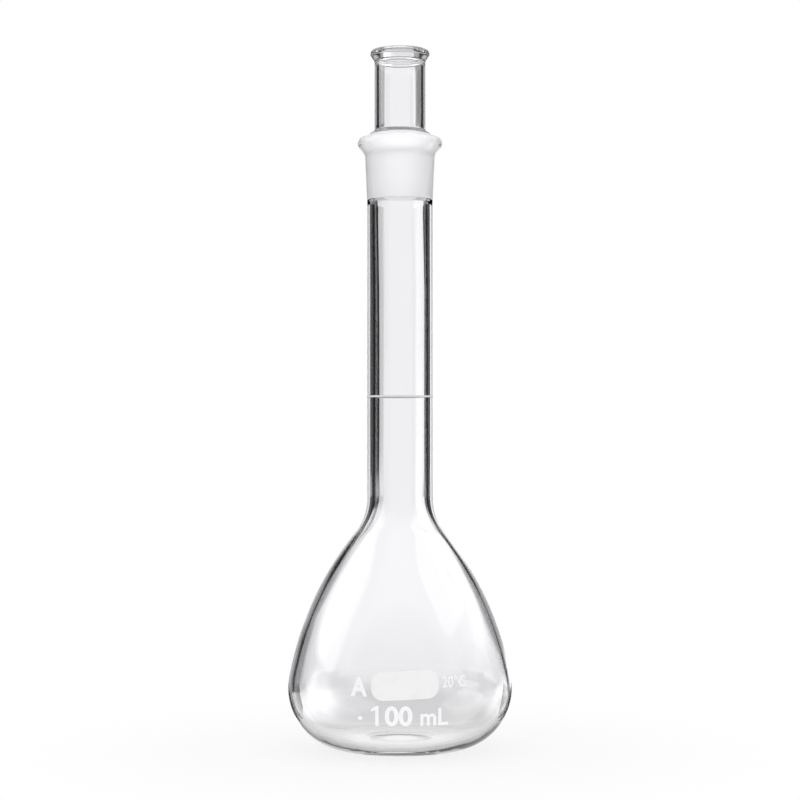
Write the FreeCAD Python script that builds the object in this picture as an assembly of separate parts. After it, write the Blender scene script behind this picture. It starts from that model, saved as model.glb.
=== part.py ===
import FreeCAD, Part
import math
import os

# Volumetric flask with a hollow ground-glass stopper, in millimetres.
# +Z is up the axis, the origin is where the axis meets the table and -Y is the marked side.

# Bulb: a blown pear of tangent arcs, from the ring that it stands on up to the neck
bulb_diameter = 59.8
heel_radius = 16.3
belly_radius = 85.6
belly_start_angle = 10.4  # degrees above level, where the heel's arc hands over to the belly's
bulb_wall = 1.4
base_wall = 2.0
rest_ring_width = 2.6
push_up_height = 1.5  # dome of the base above the table

# Neck: a straight tube, blended into the bulb
neck_diameter = 17.6
neck_wall = 1.95
neck_blend = 14.5
neck_length = 78.6

# Socket: the neck's top, opened to a ground cone that flares into a rounded lip
socket_diameter = 16.0  # at the wide end of the ground cone
ground_taper = 0.1  # change of diameter over length
ground_length = 12.0
throat_length = 1.5
socket_wall = 1.4
flare_height = 4.7
flare_blend = 1.6
lip_overhang = 1.95
lip_width = 2.7
lip_edge_height = 2.2
lip_rounding = 1.6  # over the top of its outer edge
lip_edge_rounding = 0.4
lip_inner_rounding = 0.5

# Stopper: a sealed hollow plug with a tube to hold it by and a flared head
ground_clearance = 0.05
plug_depth = 11.6  # below the wide end of the socket's cone
plug_rise = 5.7  # above it
plug_wall = 1.9
plug_rounding = 0.7
floor_thickness = 1.8
shoulder_height = 0.9
barrel_diameter = 13.7
barrel_wall = 1.1
barrel_length = 18.6
head_height = 3.15
head_overhang = 1.1
head_edge_height = 1.45
head_rounding = 1.1  # over the top of its edge
head_edge_rounding = 0.2
head_blend = 1.6
crown_thickness = 2.55
hollow_rounding = 0.9
crown_rounding = 1.2  # of the hollow under the head

# Fired-on white enamel: the line round the neck and the spot to write on
line_rise = 27.2  # middle of the line above the end of the neck's blend
line_width = 0.5
line_depth = 0.12
enamel_thickness = 0.06
spot_width = 17.3
spot_height = 7.2
spot_rounding = 3.0
spot_middle_height = 20.2
spot_middle_aside = 1.3
spot_tilt = 2.5  # degrees, right end up

origin = FreeCAD.Vector(0, 0, 0)
up = FreeCAD.Vector(0, 0, 1)
towards_front = FreeCAD.Vector(0, -1, 0)


def at(radius, height):
    return FreeCAD.Vector(radius, 0, height)


def line(start, end):
    return Part.LineSegment(start, end).toShape()


def swung(centre, radius, angle):
    return centre + at(radius * math.cos(angle), radius * math.sin(angle))


def arc(centre, radius, start, end):
    stops = [start, (start + end) / 2, end]
    return Part.Arc(*[swung(centre, radius, angle) for angle in stops]).toShape()


def dome(edge_radius, edge_height, rise):
    # Arc from a ring up to the axis, for the pushed-up base
    sphere = (edge_radius ** 2 + rise ** 2) / (2 * rise)
    spread = math.asin(edge_radius / sphere)
    centre = at(0, edge_height + rise - sphere)
    return arc(centre, sphere, math.pi / 2 - spread, math.pi / 2)


def rounded(corners):
    # Straight runs through (radius, height, rounding) corners, each eased by a tangent arc
    edges = []
    place = at(*corners[0][:2])
    for before, here, after in zip(corners, corners[1:], corners[2:]):
        corner = at(*here[:2])
        back = (at(*before[:2]) - corner).normalize()
        ahead = (at(*after[:2]) - corner).normalize()
        if here[2]:
            half = back.getAngle(ahead) / 2
            setback = here[2] / math.tan(half)
            middle = (back + ahead).normalize() * (here[2] / math.sin(half) - here[2])
            ends = [corner + back * setback, corner + ahead * setback]
            edges += [line(place, ends[0]), Part.Arc(ends[0], corner + middle, ends[1]).toShape()]
            place = ends[1]
        else:
            edges.append(line(place, corner))
            place = corner
    return edges + [line(place, at(*corners[-1][:2]))]


def turned(edges):
    # Solid of revolution about the axis, from the edges of its half section
    wire = Part.Wire(Part.__sortEdges__(edges))
    return Part.Face(wire).revolve(origin, up, 360)


def band(inner, outer, low, high):
    corners = [at(inner, low), at(outer, low), at(outer, high), at(inner, high), at(inner, low)]
    return turned([line(a, b) for a, b in zip(corners, corners[1:])])


def pear(floor, belly, neck, blend):
    # Heel, belly and blend arcs above a floor, all round the same belly centre
    rise = math.sin(belly_start)
    heel = (belly_centre.z + belly * rise - floor) / (1 + rise)
    heel_centre = swung(belly_centre, belly - heel, belly_start)
    shoulder = math.acos((neck + blend - belly_centre.x) / (belly + blend))
    blend_centre = swung(belly_centre, belly + blend, shoulder)
    edges = [
        arc(heel_centre, heel, -math.pi / 2, belly_start),
        arc(belly_centre, belly, belly_start, shoulder),
        arc(blend_centre, blend, math.pi + shoulder, math.pi),
    ]
    return edges, heel_centre.x, blend_centre.z


# Places that several pieces share
neck_radius = neck_diameter / 2
bore_radius = neck_radius - neck_wall
belly_start = math.radians(belly_start_angle)
heel_middle = at(bulb_diameter / 2 - heel_radius, heel_radius)
belly_centre = swung(heel_middle, heel_radius - belly_radius, belly_start)
outside, rest_radius, neck_start = pear(0, belly_radius, neck_radius, neck_blend)
inside, floor_radius, bore_start = pear(
    base_wall, belly_radius - bulb_wall, bore_radius, neck_blend + neck_wall
)
dome_radius = rest_radius - rest_ring_width
floor = [
    dome(dome_radius, base_wall, push_up_height),
    line(at(dome_radius, base_wall), at(floor_radius, base_wall)),
]
throat_height = neck_start + neck_length
cone_bottom = throat_height + throat_length
cone_top = cone_bottom + ground_length
lip_top = cone_top + flare_height
line_height = neck_start + line_rise


def socket_radius(height):
    return socket_diameter / 2 + (height - cone_top) * ground_taper / 2


def flask_body():
    socket_outside = socket_radius(cone_top) + socket_wall
    lip_radius = socket_outside + lip_overhang
    base = [dome(dome_radius, 0, push_up_height), line(at(dome_radius, 0), at(rest_radius, 0))]
    mouth = rounded([
        (neck_radius, neck_start, 0),
        (neck_radius, throat_height, 0),
        (socket_outside, cone_top, flare_blend),
        (lip_radius, lip_top - lip_edge_height, lip_edge_rounding),
        (lip_radius, lip_top, lip_rounding),
        (lip_radius - lip_width, lip_top, lip_inner_rounding),
        (socket_radius(cone_top), cone_top, 0),
        (socket_radius(cone_bottom), cone_bottom, 0),
        (bore_radius, throat_height, 0),
        (bore_radius, bore_start, 0),
    ])
    on_axis = line(at(0, push_up_height), at(0, base_wall + push_up_height))
    body = turned([*base, *outside, *mouth, *inside, *floor, on_axis])
    groove = band(neck_radius - line_depth, neck_radius + line_depth, *line_edges())
    return body.cut(groove)


def line_edges():
    return line_height - line_width / 2, line_height + line_width / 2


def graduation_line():
    return band(neck_radius - line_depth, neck_radius + enamel_thickness, *line_edges())


def marking_spot():
    # A skin over the whole bulb, cut to a rounded patch seen from the front
    outer, foot, top = pear(
        -enamel_thickness, belly_radius + enamel_thickness,
        neck_radius + enamel_thickness, neck_blend - enamel_thickness,
    )
    foot_edge = line(at(rest_radius, 0), at(foot, -enamel_thickness))
    top_edge = line(at(neck_radius, neck_start), at(neck_radius + enamel_thickness, top))
    skin = turned([*outside, *outer, foot_edge, top_edge])
    patch = Part.makeBox(spot_width, bulb_diameter, spot_height)
    patch.translate(FreeCAD.Vector(-spot_width / 2, -bulb_diameter, -spot_height / 2))
    upright = [e for e in patch.Edges if abs(e.tangentAt(e.FirstParameter).y) > 0.9]
    patch = patch.makeFillet(spot_rounding, upright)
    patch.rotate(origin, towards_front, spot_tilt)
    patch.translate(FreeCAD.Vector(spot_middle_aside, 0, spot_middle_height))
    return skin.common(patch)


def stopper():
    def plug_radius(height):
        return socket_radius(height) - ground_clearance

    bottom = cone_top - plug_depth
    plug_top = cone_top + plug_rise
    barrel_bottom = plug_top + shoulder_height
    barrel_top = barrel_bottom + barrel_length
    top = barrel_top + head_height
    barrel_radius = barrel_diameter / 2
    head_radius = barrel_radius + head_overhang
    glass = rounded([
        (0, bottom, 0),
        (plug_radius(bottom), bottom, plug_rounding),
        (plug_radius(plug_top), plug_top, plug_rounding),
        (barrel_radius, barrel_bottom, plug_rounding),
        (barrel_radius, barrel_top, head_blend),
        (head_radius, top - head_edge_height, head_edge_rounding),
        (head_radius, top, head_rounding),
        (0, top, 0),
    ])
    hollow_bottom = bottom + floor_thickness
    hollow_radius = barrel_radius - barrel_wall
    hollow = rounded([
        (0, hollow_bottom, 0),
        (plug_radius(hollow_bottom) - plug_wall, hollow_bottom, hollow_rounding),
        (plug_radius(plug_top) - plug_wall, plug_top - plug_wall, hollow_rounding),
        (hollow_radius, plug_top, hollow_rounding),
        (hollow_radius, top - crown_thickness, crown_rounding),
        (0, top - crown_thickness, 0),
    ])
    outer = turned([*glass, line(at(0, bottom), at(0, top))])
    inner = turned([*hollow, line(at(0, hollow_bottom), at(0, top - crown_thickness))])
    return outer.cut(inner)


def capacity_to_line():
    bore = line(at(bore_radius, bore_start), at(bore_radius, line_height))
    level = line(at(bore_radius, line_height), at(0, line_height))
    on_axis = line(at(0, base_wall + push_up_height), at(0, line_height))
    return turned([*floor, *inside, bore, level, on_axis]).Volume


pieces = {
    "flask_body": flask_body(),
    "graduation_line": graduation_line(),
    "marking_spot": marking_spot(),
    "stopper": stopper(),
}
os.makedirs("parts", exist_ok=True)
for name, shape in pieces.items():
    shape.exportStep(f"parts/{name}.step")
    low, high = shape.BoundBox.ZMin, shape.BoundBox.ZMax
    print(f"{name}: valid {shape.isValid()}, {shape.Volume:.2f} mm3, from {low:.2f} up to {high:.2f}")
print(f"holds {capacity_to_line() / 1000:.2f} mL up to the line at {line_height:.2f} mm")
print(f"neck from {neck_start:.2f} up to a lip at {lip_top:.2f}, rest ring of {rest_radius:.2f} mm radius")
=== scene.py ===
import bpy, bmesh
from math import sin, cos, tan, acos, atan2, sqrt, pi, radians, hypot, ceil
from mathutils import Vector, Matrix


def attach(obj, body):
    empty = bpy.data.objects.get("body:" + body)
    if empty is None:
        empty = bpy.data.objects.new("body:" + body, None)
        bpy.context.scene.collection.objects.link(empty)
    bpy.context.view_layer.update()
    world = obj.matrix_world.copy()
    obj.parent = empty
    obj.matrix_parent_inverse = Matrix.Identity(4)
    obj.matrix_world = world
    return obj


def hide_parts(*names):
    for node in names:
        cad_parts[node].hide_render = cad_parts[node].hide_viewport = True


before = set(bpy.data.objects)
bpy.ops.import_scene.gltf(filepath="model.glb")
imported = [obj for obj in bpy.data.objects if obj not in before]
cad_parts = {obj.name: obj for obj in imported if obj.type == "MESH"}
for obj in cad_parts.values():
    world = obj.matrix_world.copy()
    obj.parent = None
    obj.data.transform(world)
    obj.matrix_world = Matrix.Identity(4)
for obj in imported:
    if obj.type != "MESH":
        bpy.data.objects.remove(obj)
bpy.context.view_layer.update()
scene = bpy.context.scene
scene.view_settings.view_transform = "Standard"
mm = 0.001
onAxis = 1e-6  # a smaller radius is a point on the axis, in mm
print("frame:", sorted(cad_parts))


def placed(name, data):
    thing = bpy.data.objects.new(name, data)
    scene.collection.objects.link(thing)
    return thing


def lookFrom(place, aim):
    # how a camera or a lamp is turned
    return (Vector(aim) - Vector(place)).to_track_quat("-Z", "Y").to_euler()


# runs are lists of (radius, height) in mm, on the half section that the lathe turns
def arcRun(centre, radius, start, end, steps):
    turn = [start + (end - start) * i / steps for i in range(steps + 1)]
    return [(centre[0] + radius * cos(a), centre[1] + radius * sin(a)) for a in turn]


def straightRun(start, end, step):
    count = max(1, ceil(hypot(end[0] - start[0], end[1] - start[1]) / step))
    return [tuple(a + (b - a) * i / count for a, b in zip(start, end)) for i in range(count + 1)]


def easedRun(corners, step=1.2, arcSteps=10):
    # straight runs through (radius, height, rounding) corners
    run = []
    place = Vector(corners[0][:2])
    for before, here, after in zip(corners, corners[1:], corners[2:]):
        corner, rounding = Vector(here[:2]), here[2]
        back = (Vector(before[:2]) - corner).normalized()
        ahead = (Vector(after[:2]) - corner).normalized()
        half = back.angle(ahead) / 2
        setback = rounding * cos(half) / sin(half)
        middle = corner + (back + ahead).normalized() * (rounding / sin(half))
        first, last = corner + back * setback, corner + ahead * setback
        start = atan2(*(first - middle).yx)
        sweep = (atan2(*(last - middle).yx) - start + pi) % (2 * pi) - pi
        run += straightRun(place, first, step)[:-1]
        run += arcRun(middle, rounding, start, start + sweep, arcSteps)[:-1]
        place = last
    return run + straightRun(place, corners[-1][:2], step)


def domeRun(edge, height, rise, steps=28):
    # pushed-up base, from the axis out to its ring, level at both ends
    out = [edge * i / steps for i in range(steps + 1)]
    return [(r, height + rise * (1 + cos(pi * r / edge)) / 2) for r in out]


def turnedPiece(name, runs, sides, slotOf=None):
    # each run is turned about the axis, or about a point aside if it gives a third number
    # a run that misses the axis closes on itself
    verts, faces, slots = [], [], []
    for run in runs:
        rings = []
        for r, z, *aside in run:
            middle = aside[0] if aside else 0
            if r < onAxis:
                rings.append([len(verts)] * sides)
                verts.append((middle * mm, 0, z * mm))
                continue
            rings.append(range(len(verts), len(verts) + sides))
            for i in range(sides):
                a = 2 * pi * i / sides
                verts.append(((r * cos(a) + middle) * mm, r * sin(a) * mm, z * mm))
        pairs = list(zip(zip(rings, run), zip(rings[1:], run[1:])))
        if run[0][0] > onAxis:
            pairs.append(((rings[-1], run[-1]), (rings[0], run[0])))
        for (low, a), (high, b) in pairs:
            slot = slotOf((a[0] + b[0]) / 2, (a[1] + b[1]) / 2) if slotOf else 0
            for i in range(sides):
                j = (i + 1) % sides
                faces.append(list(dict.fromkeys((low[i], low[j], high[j], high[i]))))
                slots.append(slot)
    mesh = bpy.data.meshes.new(name)
    mesh.from_pydata(verts, [], faces)
    mesh.polygons.foreach_set("material_index", slots)
    return finishedPiece(name, mesh)


def finishedPiece(name, mesh, sharp=50):
    mesh.validate()
    mesh.shade_smooth()
    mesh.set_sharp_from_angle(angle=radians(sharp))
    return placed(name, mesh)


# flask: one blown wall, in mm and degrees
flask = dict(
    bulbRadius=29.9, heelRadius=16.3, bellyRadius=85.6, bellyStart=10.4, bulbWall=1.4,
    baseWall=2.0, restRing=2.6, pushUp=1.5,
    neckRadius=8.8, neckWall=1.95, neckBlend=14.5, neckLength=78.6, neckTopBlend=6.0,
    boreAside=0.15, asideBelow=3, asideOver=20,  # bore's shift, how far under the throat it starts, its run
    socketRadius=8.0, taper=0.05, groundLength=12.0, throat=1.5, socketWall=1.4,
    coneTopRound=1.5, coneBottomRound=0.5, throatRound=0.8,
    groundAbove=0.3, groundBelow=0.4, groundEdge=0.05,  # off the cone's bottom, the lip's top and inner edge
    flare=4.7, flareBlend=1.6, lipOverhang=1.95, lipWidth=2.7, lipEdge=2.2,
    lipRound=1.6, lipEdgeRound=0.4, lipInnerRound=0.5,
    lineRise=27.2, lineWidth=0.5, lineDepth=0.12,
    sides=192, heelSteps=44, bellySteps=36, blendSteps=26, neckStep=1.5, baseStep=0.5,
)
f = flask
bellyStart = radians(f["bellyStart"])
bellyWay = Vector((cos(bellyStart), sin(bellyStart)))
heelMiddle = Vector((f["bulbRadius"] - f["heelRadius"], f["heelRadius"]))
bellyMiddle = heelMiddle + (f["heelRadius"] - f["bellyRadius"]) * bellyWay


def pearRun(floor, belly, neck, blend):
    # heel, belly and shoulder arcs about one belly centre, with their first radius and last height
    heel = (bellyMiddle.y + belly * sin(bellyStart) - floor) / (1 + sin(bellyStart))
    heelSpot = bellyMiddle + (belly - heel) * bellyWay
    shoulder = acos((neck + blend - bellyMiddle.x) / (belly + blend))
    blendSpot = bellyMiddle + (belly + blend) * Vector((cos(shoulder), sin(shoulder)))
    run = arcRun(heelSpot, heel, -pi / 2, bellyStart, f["heelSteps"])[:-1]
    run += arcRun(bellyMiddle, belly, bellyStart, shoulder, f["bellySteps"])[:-1]
    run += arcRun(blendSpot, blend, pi + shoulder, pi, f["blendSteps"])
    return run, heelSpot.x, blendSpot.y


outside, restRadius, neckStart = pearRun(0, f["bellyRadius"], f["neckRadius"], f["neckBlend"])
boreRadius = f["neckRadius"] - f["neckWall"]
inside, floorRadius, boreStart = pearRun(
    f["baseWall"], f["bellyRadius"] - f["bulbWall"], boreRadius, f["neckBlend"] + f["neckWall"])
domeRadius = restRadius - f["restRing"]
throatHeight = neckStart + f["neckLength"]
coneBottom = throatHeight + f["throat"]
coneTop = coneBottom + f["groundLength"]
lipTop = coneTop + f["flare"]
lineHeight = neckStart + f["lineRise"]
lineLow, lineHigh = lineHeight - f["lineWidth"] / 2, lineHeight + f["lineWidth"] / 2
grooveRadius = f["neckRadius"] - f["lineDepth"]


def socketAt(height):
    return f["socketRadius"] + (height - coneTop) * f["taper"]


def bulbAt(height):
    # outside radius of the bulb at a height
    for (r0, z0), (r1, z1) in zip(outside, outside[1:]):
        if z0 <= height <= z1:
            return r0 + (r1 - r0) * (height - z0) / (z1 - z0)
    return f["neckRadius"]


def makeFlask():
    neckRadius, baseWall, baseStep = f["neckRadius"], f["baseWall"], f["baseStep"]
    socketOutside = socketAt(coneTop) + f["socketWall"]
    lipRadius = socketOutside + f["lipOverhang"]
    lipInner = lipRadius - f["lipWidth"]
    boreTop = throatHeight - f["asideBelow"]
    base = domeRun(domeRadius, 0, f["pushUp"])
    base += straightRun((domeRadius, 0), (restRadius, 0), baseStep)[1:]
    neck = straightRun((neckRadius, neckStart), (neckRadius, lineLow), f["neckStep"])
    neck += [(grooveRadius, lineLow), (grooveRadius, lineHigh)]
    mouth = easedRun([
        (neckRadius, lineHigh, 0),
        (neckRadius, throatHeight, f["neckTopBlend"]),
        (socketOutside, coneTop, f["flareBlend"]),
        (lipRadius, lipTop - f["lipEdge"], f["lipEdgeRound"]),
        (lipRadius, lipTop, f["lipRound"]),
        (lipInner, lipTop, f["lipInnerRound"]),
        (socketAt(coneTop), coneTop, f["coneTopRound"]),
        (socketAt(coneBottom), coneBottom, f["coneBottomRound"]),
        (boreRadius, throatHeight, f["throatRound"]),
        (boreRadius, boreTop, 0),
    ])
    inner = straightRun((boreRadius, boreTop), (boreRadius, boreStart), f["neckStep"])[1:]
    inner += inside[::-1][1:]
    inner += straightRun((floorRadius, baseWall), (domeRadius, baseWall), baseStep)[1:]
    inner += domeRun(domeRadius, baseWall, f["pushUp"])[::-1][1:]
    # a drawn tube's bore is never quite on its axis
    inner = [(r, z, f["boreAside"] * min(1, (boreTop - z) / f["asideOver"])) for r, z in inner]
    run = base + outside[1:] + neck[1:] + mouth + inner

    def isGround(r, z):
        level = coneBottom + f["groundAbove"] < z < lipTop - f["groundBelow"]
        return int(level and r < lipInner + f["groundEdge"])

    return turnedPiece("flask_glass", [run], f["sides"], isGround)


flaskGlass = makeFlask()
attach(flaskGlass, "flask")
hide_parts("flask_body")
print("flask: lip at", round(lipTop, 2), "line at", round(lineHeight, 2))


# stopper: sealed hollow plug with a tube and a flared head, in mm
stopper = dict(
    clearance=0.05, plugDepth=11.6, plugRise=5.7, plugWall=1.9, plugRound=0.7, floor=1.8,
    groundAbove=0.9, groundBelow=0.2, groundEdge=0.05,  # off the plug's bottom, top and side
    shoulder=0.9, barrelRadius=6.85, barrelWall=1.1, barrelLength=18.6,
    headHeight=3.15, headOverhang=1.1, headEdge=1.45, headRound=1.1, headEdgeRound=0.2,
    headBlend=1.6, crown=2.55, hollowRound=0.9, crownRound=1.2, sides=192,
)


def makeStopper():
    s = stopper
    bottom, plugTop = coneTop - s["plugDepth"], coneTop + s["plugRise"]
    barrelBottom = plugTop + s["shoulder"]
    barrelTop = barrelBottom + s["barrelLength"]
    top = barrelTop + s["headHeight"]
    headRadius = s["barrelRadius"] + s["headOverhang"]
    hollowRadius = s["barrelRadius"] - s["barrelWall"]
    hollowBottom, hollowTop = bottom + s["floor"], top - s["crown"]

    def plugAt(z):
        return socketAt(z) - s["clearance"]

    outer = easedRun([
        (0, bottom, 0),
        (plugAt(bottom), bottom, s["plugRound"]),
        (plugAt(plugTop), plugTop, s["plugRound"]),
        (s["barrelRadius"], barrelBottom, s["plugRound"]),
        (s["barrelRadius"], barrelTop, s["headBlend"]),
        (headRadius, top - s["headEdge"], s["headEdgeRound"]),
        (headRadius, top, s["headRound"]),
        (0, top, 0),
    ])
    hollow = easedRun([
        (0, hollowTop, 0),
        (hollowRadius, hollowTop, s["crownRound"]),
        (hollowRadius, plugTop, s["hollowRound"]),
        (plugAt(plugTop) - s["plugWall"], plugTop - s["plugWall"], s["hollowRound"]),
        (plugAt(hollowBottom) - s["plugWall"], hollowBottom, s["hollowRound"]),
        (0, hollowBottom, 0),
    ])

    def isGround(r, z):
        level = bottom + s["groundAbove"] < z < plugTop - s["groundBelow"]
        return int(level and r > plugAt(z) - s["groundEdge"])

    return turnedPiece("stopper_glass", [outer, hollow], s["sides"], isGround)


stopperGlass = makeStopper()
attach(stopperGlass, "stopper")
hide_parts("stopper")
print("stopper: turned with its sealed hollow")


# enamel: the fill line in its groove, the spot and the plain markings, in mm
enamel = dict(thickness=0.06, lift=0.01, slopeSpan=0.2)
fillBand = dict(tuck=0.02, step=0.3, arcSteps=4, sides=192)


def makeFillLine():
    tuck = fillBand["tuck"]
    inner, outer = grooveRadius + tuck, f["neckRadius"] + enamel["thickness"]
    low, high = lineLow + tuck, lineHigh - tuck
    run = easedRun([
        (inner, lineHeight, 0),
        (inner, low, tuck),
        (outer, low, tuck * 2),
        (outer, high, tuck * 2),
        (inner, high, tuck),
        (inner, lineHeight, 0),
    ], fillBand["step"], fillBand["arcSteps"])[:-1]
    return turnedPiece("fill_line_enamel", [run], fillBand["sides"])


def onBulb(x, z, lift):
    # a point of the flat artwork, pushed on to the bulb from the front, in metres
    r, span = bulbAt(z), enamel["slopeSpan"]
    slope = (bulbAt(z + span) - bulbAt(z - span)) / (2 * span)
    y = -sqrt(r * r - x * x)
    normal = Vector((x / r, y / r, -slope)).normalized()
    return (Vector((x, y, z)) + normal * lift) * mm


spot = dict(
    width=17.3, height=7.2, rounding=3.0, aside=1.3, middle=20.2, tilt=2.5,
    rings=16, cornerSteps=12, step=0.5, weld=1e-7,
    rim=(0.995, 0.7),  # shares of the outline and the thickness, for the ring that eases the edge
)


def makeSpot():
    halfX, halfZ, r = spot["width"] / 2, spot["height"] / 2, spot["rounding"]
    corners = []
    for sx, sz, start in ((1, 1, 0), (-1, 1, 1), (-1, -1, 2), (1, -1, 3)):
        middle = (sx * (halfX - r), sz * (halfZ - r))
        corners += arcRun(middle, r, start * pi / 2, (start + 1) * pi / 2, spot["cornerSteps"])
    outline = []
    for a, b in zip(corners, corners[1:] + corners[:1]):
        outline += straightRun(a, b, spot["step"])[:-1]
    turn = Matrix.Rotation(radians(spot["tilt"]), 2)
    # rings from the middle of the underside out to the rim and back over the top
    shares = [i / spot["rings"] for i in range(spot["rings"] + 1)]
    rings = [(share, 0) for share in shares] + [spot["rim"]] + [(share, 1) for share in shares[-2::-1]]
    verts, faces, count = [], [], len(outline)
    for share, rise in rings:
        lift = enamel["lift"] + enamel["thickness"] * rise
        for p in outline:
            x, z = turn @ (Vector(p) * share)
            verts.append(onBulb(x + spot["aside"], z + spot["middle"], lift))
    for ring in range(len(rings) - 1):
        for i in range(count):
            a, b = ring * count + i, ring * count + (i + 1) % count
            faces.append((a, b, b + count, a + count))
    mesh = bpy.data.meshes.new("marking_spot_enamel")
    mesh.from_pydata(verts, [], faces)
    bm = bmesh.new()
    bm.from_mesh(mesh)
    bmesh.ops.remove_doubles(bm, verts=bm.verts, dist=spot["weld"])
    bmesh.ops.recalc_face_normals(bm, faces=bm.faces)
    bm.to_mesh(mesh)
    bm.free()
    return finishedPiece("marking_spot_enamel", mesh)


# a drawn figure or letters of the built-in font, each block fitted to a width and a height
lettering = dict(cell=0.5, weld=1e-6, cut=1e-5, curveSteps=5, sharp=40)
figureOne = [(0.55, 0), (1, 0), (1, 1), (0.62, 1), (0, 0.84), (0, 0.7), (0.55, 0.8)]
markings = [
    dict(name="capacity_one", strokes=figureOne, left=-7.3, low=9.85, height=5.2, width=1.9),
    dict(name="capacity_zeros", words="00", left=-3.85, low=9.85, height=5.2, width=7.0, bold=0.03),
    dict(name="capacity_unit", words="mL", left=5.15, low=9.9, height=4.55, width=7.1, bold=0.02),
    dict(name="capacity_dot", words=".", left=-10.7, low=11.3, height=1.0, width=1.2, bold=0),
    dict(name="class_marking", words="A", left=-12.5, low=17.3, height=4.8, width=4.2, bold=0.035),
    dict(name="temperature_marking", words="20°C", left=10.7, low=19.4, height=3.0, width=6.0, bold=0.012),
]


def letterMesh(m):
    if "strokes" in m:
        mesh = bpy.data.meshes.new(m["name"])
        mesh.from_pydata([(x, y, 0) for x, y in m["strokes"]], [], [range(len(m["strokes"]))])
        return mesh
    curve = bpy.data.curves.new(m["name"], "FONT")
    curve.body = m["words"]
    curve.offset = m["bold"]
    curve.resolution_u = lettering["curveSteps"]
    source = placed(m["name"] + "_source", curve)
    bpy.context.view_layer.update()
    mesh = bpy.data.meshes.new_from_object(source.evaluated_get(bpy.context.evaluated_depsgraph_get()))
    bpy.data.objects.remove(source)
    mesh.name = m["name"]
    return mesh


def makeMarking(m):
    mesh = letterMesh(m)
    bm = bmesh.new()
    bm.from_mesh(mesh)
    bmesh.ops.remove_doubles(bm, verts=bm.verts, dist=lettering["weld"])
    lo = Vector((min(v.co.x for v in bm.verts), min(v.co.y for v in bm.verts)))
    hi = Vector((max(v.co.x for v in bm.verts), max(v.co.y for v in bm.verts)))
    for v in bm.verts:
        x = (v.co.x - lo.x) / (hi.x - lo.x) * m["width"]
        y = (v.co.y - lo.y) / (hi.y - lo.y) * m["height"]
        v.co = (x, y, 0)
    # cut into small cells, so that it can follow the bulb
    for axis, size in ((0, m["width"]), (1, m["height"])):
        for i in range(1, ceil(size / lettering["cell"])):
            place, normal = Vector(), Vector()
            place[axis], normal[axis] = i * lettering["cell"], 1
            everything = bm.verts[:] + bm.edges[:] + bm.faces[:]
            bmesh.ops.bisect_plane(
                bm, geom=everything, dist=lettering["cut"], plane_co=place, plane_no=normal)
    for face in bm.faces:
        if face.normal.z < 0:
            face.normal_flip()
    bmesh.ops.triangulate(bm, faces=bm.faces)
    raised = bmesh.ops.extrude_face_region(bm, geom=bm.faces[:])
    top = {v for v in raised["geom"] if isinstance(v, bmesh.types.BMVert)}
    for v in bm.verts:
        lift = enamel["lift"] + (enamel["thickness"] if v in top else 0)
        v.co = onBulb(v.co.x + m["left"], v.co.y + m["low"], lift)
    bmesh.ops.recalc_face_normals(bm, faces=bm.faces)
    bm.to_mesh(mesh)
    bm.free()
    return finishedPiece(m["name"], mesh, lettering["sharp"])


fillLine = makeFillLine()
markingSpot = makeSpot()
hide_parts("graduation_line")
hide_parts("marking_spot")
enamelPieces = [fillLine, markingSpot] + [makeMarking(m) for m in markings]
for piece in enamelPieces:
    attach(piece, "flask")
print("enamel:", [p.name for p in enamelPieces])


# materials
def newNode(tree, kind, values=None, **settings):
    node = tree.nodes.new(kind)
    for key, value in settings.items():
        setattr(node, key, value)
    for key, value in (values or {}).items():
        node.inputs[key].default_value = value
    return node


def newGroup(name, inputs, outputs):
    tree = bpy.data.node_groups.new(name, "ShaderNodeTree")
    for label, value in inputs:
        socket = tree.interface.new_socket(label, in_out="INPUT", socket_type="NodeSocketFloat")
        socket.default_value = value
    for label in outputs:
        tree.interface.new_socket(label, in_out="OUTPUT", socket_type="NodeSocketFloat")
    return tree, tree.nodes.new("NodeGroupInput"), tree.nodes.new("NodeGroupOutput")


drawn = dict(stretch=(150, 150, 18), detail=1, roughness=0.4, rippleScale=420, rippleDetail=2)


def drawnGroup():
    # long faint waves of drawn and blown glass, and a fine all-over ripple
    tree, given, made = newGroup("drawnWaves", [("Waves", 1), ("Ripple", 0.3)], ["Height"])
    place = newNode(tree, "ShaderNodeTexCoord")
    stretch = newNode(tree, "ShaderNodeMapping", {"Scale": drawn["stretch"]})
    waves = newNode(tree, "ShaderNodeTexNoise", {
        "Scale": 1, "Detail": drawn["detail"], "Roughness": drawn["roughness"]})
    ripple = newNode(tree, "ShaderNodeTexNoise", {
        "Scale": drawn["rippleScale"], "Detail": drawn["rippleDetail"]})
    long = newNode(tree, "ShaderNodeMath", operation="MULTIPLY")
    total = newNode(tree, "ShaderNodeMath", operation="MULTIPLY_ADD")
    link = tree.links.new
    link(place.outputs["Object"], stretch.inputs["Vector"])
    link(stretch.outputs["Vector"], waves.inputs["Vector"])
    link(place.outputs["Object"], ripple.inputs["Vector"])
    link(waves.outputs["Fac"], long.inputs[0])
    link(given.outputs["Waves"], long.inputs[1])
    link(ripple.outputs["Fac"], total.inputs[0])
    link(given.outputs["Ripple"], total.inputs[1])
    link(long.outputs[0], total.inputs[2])
    link(total.outputs[0], made.inputs["Height"])
    return tree


touch = dict(detail=5, roughness=0.65, begins=0.5, full=0.72)


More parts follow.
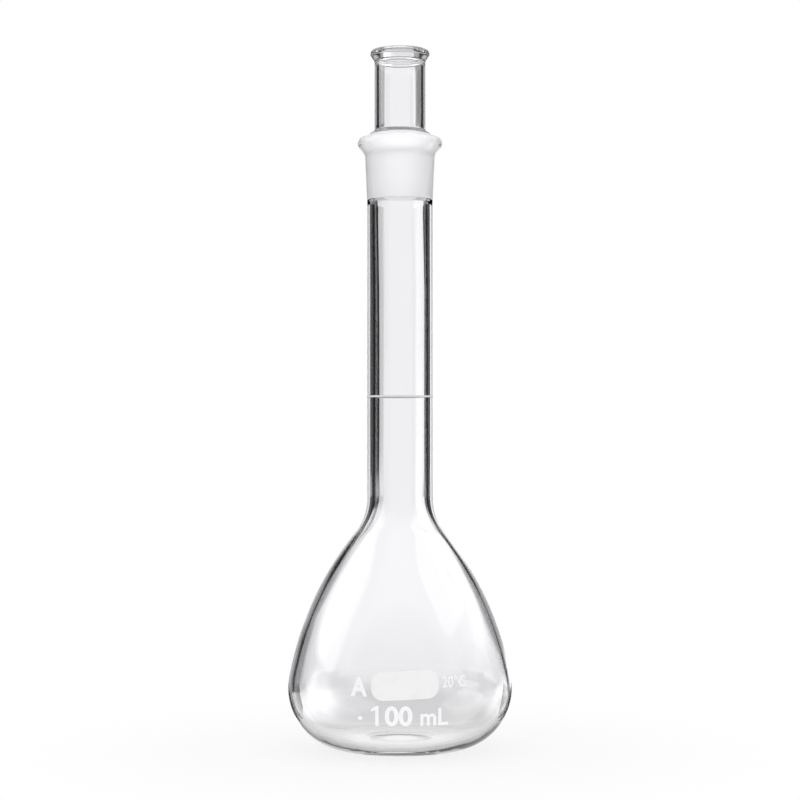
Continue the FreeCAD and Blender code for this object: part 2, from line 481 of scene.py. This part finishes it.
def marksGroup():
    # faint cloudy marks of handling, from clean to touched
    inputs = [("Clean", 0), ("Touched", 0.1), ("Scale", 60)]
    tree, given, made = newGroup("handlingMarks", inputs, ["Roughness"])
    place = newNode(tree, "ShaderNodeTexCoord")
    cloud = newNode(tree, "ShaderNodeTexNoise", {"Detail": touch["detail"], "Roughness": touch["roughness"]})
    shade = newNode(tree, "ShaderNodeMapRange", {"From Min": touch["begins"], "From Max": touch["full"]})
    spread = newNode(tree, "ShaderNodeMapRange")
    link = tree.links.new
    link(place.outputs["Object"], cloud.inputs["Vector"])
    link(given.outputs["Scale"], cloud.inputs["Scale"])
    link(cloud.outputs["Fac"], shade.inputs["Value"])
    link(shade.outputs["Result"], spread.inputs["Value"])
    link(given.outputs["Clean"], spread.inputs["To Min"])
    link(given.outputs["Touched"], spread.inputs["To Max"])
    link(spread.outputs["Result"], made.inputs["Roughness"])
    return tree


drawnWaves = drawnGroup()
handlingMarks = marksGroup()


def newMaterial(name, **sockets):
    mat = bpy.data.materials.new(name)
    mat.use_nodes = True
    tree = mat.node_tree
    shader = tree.nodes["Principled BSDF"]
    for key, value in sockets.items():
        shader.inputs[key.replace("_", " ")].default_value = value
    return mat, tree, shader


def addMarks(tree, shader, look):
    values = {"Clean": look["rough"], "Touched": look["rough"] + look["wear"], "Scale": look["marks"]}
    marks = newNode(tree, "ShaderNodeGroup", values, node_tree=handlingMarks)
    tree.links.new(marks.outputs["Roughness"], shader.inputs["Roughness"])


def addBump(tree, shader, height, strength, distance):
    bump = newNode(tree, "ShaderNodeBump", {"Strength": strength, "Distance": distance})
    tree.links.new(height, bump.inputs["Height"])
    tree.links.new(bump.outputs["Normal"], shader.inputs["Normal"])


def addGrain(tree, **values):
    place = newNode(tree, "ShaderNodeTexCoord")
    grain = newNode(tree, "ShaderNodeTexNoise", values)
    tree.links.new(place.outputs["Object"], grain.inputs["Vector"])
    return grain.outputs["Fac"]


glassLook = dict(
    colour=(0.99, 0.991, 0.994, 1), index=1.474, clear=1, rough=0.0, wear=0.012, marks=45,
    waves=1.0, ripple=0.12, waveDepth=0.00002, bump=1.0,
)


def makeClearGlass():
    look = glassLook
    mat, tree, shader = newMaterial(
        "clearGlass", Base_Color=look["colour"], IOR=look["index"], Transmission_Weight=look["clear"])
    addMarks(tree, shader, look)
    values = {"Waves": look["waves"], "Ripple": look["ripple"]}
    waves = newNode(tree, "ShaderNodeGroup", values, node_tree=drawnWaves)
    addBump(tree, shader, waves.outputs["Height"], look["bump"], look["waveDepth"])
    return mat


groundLook = dict(
    colour=(0.985, 0.985, 0.985, 1), index=1.474, clear=0.1, gloss=0, rough=0.3, wear=0.12, marks=160,
    grain=5200, grainDetail=3, grainDepth=0.00002, bump=0.6,
)


def makeGroundGlass():
    look = groundLook
    mat, tree, shader = newMaterial(
        "groundGlass", Base_Color=look["colour"], IOR=look["index"], Transmission_Weight=look["clear"],
        Specular_IOR_Level=look["gloss"])
    addMarks(tree, shader, look)
    grain = addGrain(tree, Scale=look["grain"], Detail=look["grainDetail"])
    addBump(tree, shader, grain, look["bump"], look["grainDepth"])
    return mat


# all enamel is one fired paste, laid on more thinly for the line
fired = dict(
    index=1.5, wear=0.2, marks=220, grainDetail=4, grainRoughness=0.6, grainDepth=0.00002, bump=0.4,
    thinFrom=0.5, thinTo=0.8,
)
enamelLook = dict(fired, colour=(0.94, 0.94, 0.94, 1), thin=(0.87, 0.87, 0.875, 1), rough=0.45, grain=260)
letterLook = dict(fired, colour=(0.99, 0.99, 0.99, 1), thin=(0.95, 0.95, 0.95, 1), rough=0.4, grain=500)
lineLook = dict(fired, colour=(0.76, 0.76, 0.77, 1), thin=(0.66, 0.66, 0.67, 1), rough=0.5, grain=700)


def makeEnamel(name, look):
    mat, tree, shader = newMaterial(name, IOR=look["index"])
    addMarks(tree, shader, look)
    grain = addGrain(
        tree, Scale=look["grain"], Detail=look["grainDetail"], Roughness=look["grainRoughness"])
    shade = newNode(tree, "ShaderNodeMapRange", {"From Min": look["thinFrom"], "From Max": look["thinTo"]})
    tint = newNode(tree, "ShaderNodeMix", data_type="RGBA")
    tint.inputs["A"].default_value = look["colour"]
    tint.inputs["B"].default_value = look["thin"]
    tree.links.new(grain, shade.inputs["Value"])
    tree.links.new(shade.outputs["Result"], tint.inputs["Factor"])
    tree.links.new(tint.outputs["Result"], shader.inputs["Base Color"])
    addBump(tree, shader, grain, look["bump"], look["grainDepth"])
    return mat


clearGlass = makeClearGlass()
groundGlass = makeGroundGlass()
whiteEnamel = makeEnamel("whiteEnamel", enamelLook)
lineEnamel = makeEnamel("lineEnamel", lineLook)
letterEnamel = makeEnamel("letterEnamel", letterLook)
for piece in (flaskGlass, stopperGlass):
    piece.data.materials.append(clearGlass)
    piece.data.materials.append(groundGlass)
ownEnamel = {fillLine: lineEnamel, markingSpot: whiteEnamel}
for piece in enamelPieces:
    piece.data.materials.append(ownEnamel.get(piece, letterEnamel))
for name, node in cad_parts.items():
    node.data.materials.clear()
    node.data.materials.append(whiteEnamel if name in ("graduation_line", "marking_spot") else clearGlass)
print("materials:", [m.name for m in bpy.data.materials if m.users])


# camera, and the set that turns with it
view = dict(distance=0.5364, height=0.0823, aim=0.0930, lens=90, sensor=36, farthest=100)
cam = bpy.data.cameras.new("camera")
cam.lens = view["lens"]
cam.sensor_width = view["sensor"]
cam.clip_end = view["farthest"]
camera = placed("camera", cam)
camera.location = (0, -view["distance"], view["height"])
camera.rotation_euler = lookFrom(camera.location, (0, 0, view["aim"]))
scene.camera = camera
bpy.context.view_layer.update()

# panels that only the glass sees, placed and sized by degrees as seen from the flask, away in metres
panels = [
    dict(name="left_card", turn=-61, rise=-64.7, away=0.0963, wide=8.9, tall=4.75,
         light=0.02, soft=0.1, square=6, faces=(-90, 0)),
    dict(name="right_card", turn=61, rise=-64.7, away=0.0963, wide=8.9, tall=4.75,
         light=0.02, soft=0.1, square=6, faces=(90, 0)),
    # painted pools of light on the floor behind and beside the flask: bright sheets that only the glass sees
    dict(name="left_painted_light_pool", turn=-37.1, rise=-58.3, away=0.1075, wide=10, tall=23,
         light=1.25, soft=0.7, square=2.5, faces=(0, -86)),
    dict(name="right_painted_light_pool", turn=41.6, rise=-56.7, away=0.1095, wide=9, tall=22.5,
         light=1.25, soft=0.7, square=2.5, faces=(0, -86)),
    # painted shadow of the flask on the floor behind it: a dark sheet that only the glass sees
    dict(name="painted_back_shadow", turn=0, rise=-68, away=0.096, wide=13, tall=11.8,
         light=0.66, soft=0.5, square=2.5),
    dict(name="left_low", turn=-93, rise=-17.5, away=0.25, wide=20, tall=16,
         light=1.8, soft=0.5, square=3),
    dict(name="left_shade", turn=-28.1, rise=-14.5, away=0.1756, wide=12.2, tall=6.8,
         light=0.3, soft=0.35, square=4, faces=(0, 0)),
    dict(name="right_shade", turn=28.1, rise=-17.3, away=0.1781, wide=12.0, tall=9.6,
         light=0.38, soft=0.4, square=4, faces=(0, 0)),
    dict(name="left_rim", turn=-29.2, rise=-24.5, away=0.1951, wide=9.2, tall=7.0,
         light=0.3, soft=0.35, square=4, faces=(0, 0)),
    dict(name="left_black", turn=-38.3, rise=1.5, away=0.2040, wide=19.8, tall=10.1,
         light=0.02, soft=0.12, square=6, faces=(0, 0)),
    dict(name="right_black", turn=40.2, rise=1.5, away=0.2094, wide=17.2, tall=9.9,
         light=0.02, soft=0.12, square=6, faces=(0, 0)),
    dict(name="right_low", turn=56, rise=-24.7, away=0.25, wide=19, tall=11,
         light=1.3, soft=0.55, square=2.5),
    dict(name="right_mid", turn=97, rise=-1, away=0.25, wide=14, tall=7.5,
         light=0.7, soft=0.5, square=2.5),
    dict(name="under_screen", turn=0, rise=-23, away=2.7, wide=60, tall=11,
         light=0.58, soft=0.2, square=6),
    dict(name="low_screen", turn=0, rise=-19, away=2.8, wide=16, tall=13,
         light=0.8, soft=0.5, square=6),
    dict(name="right_wing", turn=14.5, rise=-4, away=2.9, wide=10, tall=14,
         light=1.18, soft=0.25, square=4),
    dict(name="screen", turn=0, rise=-6, away=3.0, wide=13, tall=14,
         light=0.97, soft=0.3, square=6),
    dict(name="high_screen", turn=0, rise=6, away=3.02, wide=9.7, tall=9.5,
         light=0.97, soft=0.25, square=4),
    dict(name="left_low_wing", turn=-13, rise=-8, away=3.05, wide=6.5, tall=7,
         light=0.86, soft=0.3, square=4),
    dict(name="left_wing", turn=-10, rise=-3, away=3.1, wide=9, tall=11.5,
         light=0.68, soft=0.15, square=6),
    dict(name="high_grey", turn=0, rise=18, away=3.2, wide=33, tall=10,
         light=0.34, soft=0.15, square=6),
    dict(name="low_grey", turn=0, rise=-12, away=3.3, wide=32, tall=9,
         light=0.42, soft=0.3, square=6),
    dict(name="left_box", turn=-86, rise=32.4, away=2.0, wide=22, tall=23.6,
         light=2.0, soft=0.12, square=4),
    dict(name="right_box", turn=98, rise=46, away=2.0, wide=25, tall=22,
         light=1.9, soft=0.2, square=4),
    dict(name="joint_card", turn=180, rise=-12, away=1.1, wide=74, tall=64,
         light=1.9, soft=0.3, square=4, scattered=True),
    dict(name="front_card", turn=180, rise=0, away=1.2, wide=60, tall=50,
         light=0.5, soft=0.4, square=3),
]
panelTint = (0.985, 0.98, 1.0, 1)
plainWhite = (1, 1, 1, 1)
scatteredOnce = 0.5  # light path's diffuse depth is above this once the light has been scattered


def emptyTree(owner):
    owner.use_nodes = True
    owner.node_tree.nodes.clear()
    return owner.node_tree


def smoothStep(tree, low, high, start=0, end=1):
    values = {"From Min": low, "From Max": high, "To Min": start, "To Max": end}
    return newNode(tree, "ShaderNodeMapRange", values, interpolation_type="SMOOTHSTEP")


def mixed(tree, factor, first, second):
    mix = newNode(tree, "ShaderNodeMixShader")
    tree.links.new(factor, mix.inputs["Fac"])
    tree.links.new(first, mix.inputs[1])
    tree.links.new(second, mix.inputs[2])
    return mix.outputs["Shader"]


def glassRays(tree, path):
    # 1 for light that glass has mirrored or let through
    seen = newNode(tree, "ShaderNodeMath", operation="ADD", use_clamp=True)
    tree.links.new(path.outputs["Is Glossy Ray"], seen.inputs[0])
    tree.links.new(path.outputs["Is Transmission Ray"], seen.inputs[1])
    return seen.outputs[0]


def edgeGroup():
    # full in the middle of a panel, falling to nothing at a rounded edge
    tree, given, made = newGroup("softEdge", [("Soft", 0.5), ("Square", 2)], ["Mask"])
    place = newNode(tree, "ShaderNodeTexCoord")
    split = newNode(tree, "ShaderNodeSeparateXYZ")
    total = newNode(tree, "ShaderNodeMath", operation="ADD")
    root = newNode(tree, "ShaderNodeMath", {0: 1}, operation="DIVIDE")
    out = newNode(tree, "ShaderNodeMath", operation="POWER")
    left = newNode(tree, "ShaderNodeMath", {0: 1}, operation="SUBTRACT")
    fade = smoothStep(tree, 0, 1)
    link = tree.links.new
    link(place.outputs["Generated"], split.inputs["Vector"])
    for i, axis in enumerate("XY"):
        middle = newNode(tree, "ShaderNodeMath", {1: 2, 2: -1}, operation="MULTIPLY_ADD")
        size = newNode(tree, "ShaderNodeMath", operation="ABSOLUTE")
        power = newNode(tree, "ShaderNodeMath", operation="POWER")
        link(split.outputs[axis], middle.inputs[0])
        link(middle.outputs[0], size.inputs[0])
        link(size.outputs[0], power.inputs[0])
        link(given.outputs["Square"], power.inputs[1])
        link(power.outputs[0], total.inputs[i])
    link(given.outputs["Square"], root.inputs[1])
    link(total.outputs[0], out.inputs[0])
    link(root.outputs[0], out.inputs[1])
    link(out.outputs[0], left.inputs[1])
    link(left.outputs[0], fade.inputs["Value"])
    link(given.outputs["Soft"], fade.inputs["From Max"])
    link(fade.outputs["Result"], made.inputs["Mask"])
    return tree


softEdge = edgeGroup()


def pointing(turn, rise):
    # in the camera's own axes, from degrees right of straight ahead and degrees up
    turn, rise = radians(turn), radians(rise)
    return Vector((sin(turn) * cos(rise), sin(rise), -cos(turn) * cos(rise)))


def panelLook(p):
    mat = bpy.data.materials.new(p["name"])
    tree = emptyTree(mat)
    mat.cycles.emission_sampling = "NONE"
    edge = newNode(tree, "ShaderNodeGroup", {"Soft": p["soft"], "Square": p["square"]}, node_tree=softEdge)
    light = newNode(tree, "ShaderNodeEmission", {"Color": panelTint, "Strength": p["light"]})
    clear = newNode(tree, "ShaderNodeBsdfTransparent")
    end = newNode(tree, "ShaderNodeOutputMaterial")
    # light that the ground joint has scattered sees its own card alone
    path = newNode(tree, "ShaderNodeLightPath")
    side = "GREATER_THAN" if p.get("scattered") else "LESS_THAN"
    meant = newNode(tree, "ShaderNodeMath", {1: scatteredOnce}, operation=side)
    shown = newNode(tree, "ShaderNodeMath", operation="MULTIPLY")
    tree.links.new(path.outputs["Diffuse Depth"], meant.inputs[0])
    tree.links.new(meant.outputs[0], shown.inputs[0])
    tree.links.new(edge.outputs["Mask"], shown.inputs[1])
    both = mixed(tree, shown.outputs[0], clear.outputs["BSDF"], light.outputs["Emission"])
    tree.links.new(both, end.inputs["Surface"])
    return mat


def makePanel(p):
    mesh = bpy.data.meshes.new(p["name"])
    x, y = (p["away"] * tan(radians(p[side])) for side in ("wide", "tall"))
    mesh.from_pydata([(-x, -y, 0), (x, -y, 0), (x, y, 0), (-x, y, 0)], [], [(0, 1, 2, 3)])
    mesh.materials.append(panelLook(p))
    panel = placed(p["name"], mesh)
    towards = pointing(p["turn"], p["rise"])
    middle = Vector((0, 0, -(Vector((0, 0, view["aim"])) - camera.location).length))
    panel.parent = camera
    panel.location = middle + towards * p["away"]
    if "faces" in p:
        towards = pointing(*p["faces"])
    across = towards.cross((0, 1, 0)).normalized()
    panel.rotation_euler = Matrix((across, across.cross(towards), -towards)).transposed().to_euler()
    panel.visible_camera = panel.visible_diffuse = panel.visible_shadow = False


# distances from the flask's axis in metres, but fades in 1 / metres
# shade, under and fades draw the painted shadow ring on the floor, which only the glass sees
floorLook = dict(
    radius=0.9, sides=96, drop=0.0002, matt=(0.9, 0.9, 0.9, 1), shadow=0.2, shadowReach=0.12,
    white=0.98, shade=0.28, under=(0.007, 0.02), fades=(6.0, 14.0), clear=(0.06, 0.14),
)


def makeFloor():
    mesh = bpy.data.meshes.new("floor")
    bm = bmesh.new()
    bmesh.ops.create_circle(bm, cap_ends=True, segments=floorLook["sides"], radius=floorLook["radius"])
    bm.to_mesh(mesh)
    bm.free()
    floor = placed("floor", mesh)
    floor.location.z = -floorLook["drop"]
    mat = bpy.data.materials.new("paleFloor")
    tree = emptyTree(mat)
    link = tree.links.new
    path = newNode(tree, "ShaderNodeLightPath")
    place = newNode(tree, "ShaderNodeTexCoord")
    far = newNode(tree, "ShaderNodeVectorMath", operation="LENGTH")
    glow = newNode(tree, "ShaderNodeEmission", {"Color": plainWhite, "Strength": 1})
    end = newNode(tree, "ShaderNodeOutputMaterial")
    link(place.outputs["Object"], far.inputs[0])
    # straight to the camera: white with a share of shadow
    white = smoothStep(tree, 0, floorLook["shadowReach"], 1 - floorLook["shadow"])
    matt = newNode(tree, "ShaderNodeBsdfDiffuse", {"Color": floorLook["matt"]})
    link(far.outputs["Value"], white.inputs["Value"])
    direct = mixed(tree, white.outputs["Result"], matt.outputs["BSDF"], glow.outputs["Emission"])
    looked = mixed(tree, path.outputs["Is Camera Ray"], glow.outputs["Emission"], direct)
    # through the glass or mirrored in it: pale near the flask with a painted shadow ring around it, clear
    # further out
    dark = smoothStep(tree, *floorLook["under"], 0, floorLook["shade"])
    near = newNode(tree, "ShaderNodeMath", {0: 1}, operation="DIVIDE")
    light = smoothStep(tree, *floorLook["fades"])
    shade = newNode(tree, "ShaderNodeMath", operation="MULTIPLY")
    pale = newNode(tree, "ShaderNodeMath", {0: floorLook["white"]}, operation="SUBTRACT")
    nearby = newNode(tree, "ShaderNodeEmission", {"Color": plainWhite})
    clear = newNode(tree, "ShaderNodeBsdfTransparent")
    gone = smoothStep(tree, *floorLook["clear"])
    link(far.outputs["Value"], dark.inputs["Value"])
    link(far.outputs["Value"], near.inputs[1])
    link(near.outputs[0], light.inputs["Value"])
    link(dark.outputs["Result"], shade.inputs[0])
    link(light.outputs["Result"], shade.inputs[1])
    link(shade.outputs[0], pale.inputs[1])
    link(pale.outputs[0], nearby.inputs["Strength"])
    link(far.outputs["Value"], gone.inputs["Value"])
    fading = mixed(tree, gone.outputs["Result"], nearby.outputs["Emission"], clear.outputs["BSDF"])
    link(mixed(tree, glassRays(tree, path), looked, fading), end.inputs["Surface"])
    mesh.materials.append(mat)


lights = [
    dict(name="key", place=(-0.7, -0.8, 1.0), aim=(0, 0, 0.07), size=0.6, energy=1.0),
    dict(name="fill", place=(0.8, -0.6, 0.7), aim=(0, 0, 0.07), size=0.7, energy=0.7),
]
around = dict(soft=0.82, scattered=0.7, flags=0.015, overhead=0.9, overheadFrom=(0.185, 0.34))


def makeLamp(l):
    data = bpy.data.lights.new(l["name"], "AREA")
    data.energy = l["energy"]
    data.size = l["size"]
    lamp = placed(l["name"], data)
    lamp.location = l["place"]
    lamp.rotation_euler = lookFrom(lamp.location, l["aim"])
    lamp.visible_glossy = lamp.visible_transmission = False


def makeSurroundings():
    # white behind the object, soft light on it, and for the glass dark flags under a bright ceiling
    world = bpy.data.worlds.new("world")
    scene.world = world
    tree = emptyTree(world)
    link = tree.links.new

    def glow(strength):
        values = {"Color": plainWhite, "Strength": strength}
        return newNode(tree, "ShaderNodeBackground", values)

    path = newNode(tree, "ShaderNodeLightPath")
    place = newNode(tree, "ShaderNodeTexCoord")
    split = newNode(tree, "ShaderNodeSeparateXYZ")
    ceiling = smoothStep(tree, *around["overheadFrom"], around["flags"], around["overhead"])
    diffused = newNode(tree, "ShaderNodeMath", {1: scatteredOnce}, operation="GREATER_THAN")
    white, soft, scattered, flags = glow(1), glow(around["soft"]), glow(around["scattered"]), glow(1)
    end = newNode(tree, "ShaderNodeOutputWorld")
    link(place.outputs["Generated"], split.inputs["Vector"])
    link(split.outputs["Z"], ceiling.inputs["Value"])
    link(ceiling.outputs["Result"], flags.inputs["Strength"])
    link(path.outputs["Diffuse Depth"], diffused.inputs[0])
    inGlass = mixed(tree, diffused.outputs[0], flags.outputs[0], scattered.outputs[0])
    lit = mixed(tree, glassRays(tree, path), soft.outputs[0], inGlass)
    link(mixed(tree, path.outputs["Is Camera Ray"], lit, white.outputs[0]), end.inputs["Surface"])


for p in panels:
    makePanel(p)
makeFloor()
for l in lights:
    makeLamp(l)
makeSurroundings()
bounces = dict(max_bounces=32, diffuse_bounces=12, transmission_bounces=24, glossy_bounces=16)
for kind, count in bounces.items():
    setattr(scene.cycles, kind, count)
print("set:", len(panels), "panels, floor, lamps and surroundings")
